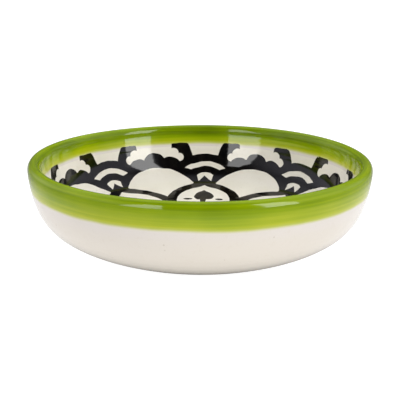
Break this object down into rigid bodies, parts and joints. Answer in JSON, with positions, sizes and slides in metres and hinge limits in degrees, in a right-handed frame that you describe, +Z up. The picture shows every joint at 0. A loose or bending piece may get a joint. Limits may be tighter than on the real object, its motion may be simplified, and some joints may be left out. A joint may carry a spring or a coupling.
{
  "type": "ceramic plate",
  "caption": "Deep coupe plate in glazed earthenware with a brushed green rim band and a black painted arcade on the cream inside, standing on a low turned foot.",
  "frame": {"origin": "centre of the foot ring, on the surface that the plate stands on", "axes": "+Z up along the axis the plate was turned on; +Y runs along the axis of one painted motif, which repeats round the axis"},
  "size_m": [0.2, 0.2, 0.0507],
  "materials": {
    "bare_clay": "unglazed fired earthenware, matt and slightly sandy",
    "cream_glaze": "glossy cream glaze",
    "green_glaze": "glossy olive green, brushed on in soft streaks that thin to yellow at their edges",
    "black_paint": "black underglaze brushwork under clear gloss, thinning to brown where the brush ran dry"
  },
  "bodies": {
    "root": {"clay_body": "bare_clay", "inner_glaze": "cream_glaze", "outer_glaze": "cream_glaze", "foot_well_glaze": "cream_glaze", "rim_band": "green_glaze", "arcade": "black_paint", "centre_rosette": "black_paint", "leaf_1": "black_paint", "leaf_2": "black_paint", "leaf_3": "black_paint", "leaf_4": "black_paint", "leaf_5": "black_paint", "leaf_6": "black_paint", "leaf_7": "black_paint", "leaf_8": "black_paint", "dab_1a": "black_paint", "dab_1b": "black_paint", "dab_2a": "black_paint", "dab_2b": "black_paint", "dab_3a": "black_paint", "dab_3b": "black_paint", "dab_4a": "black_paint", "dab_4b": "black_paint", "dab_5a": "black_paint", "dab_5b": "black_paint", "dab_6a": "black_paint", "dab_6b": "black_paint", "dab_7a": "black_paint", "dab_7b": "black_paint", "dab_8a": "black_paint", "dab_8b": "black_paint"}
  },
  "joints": []
}
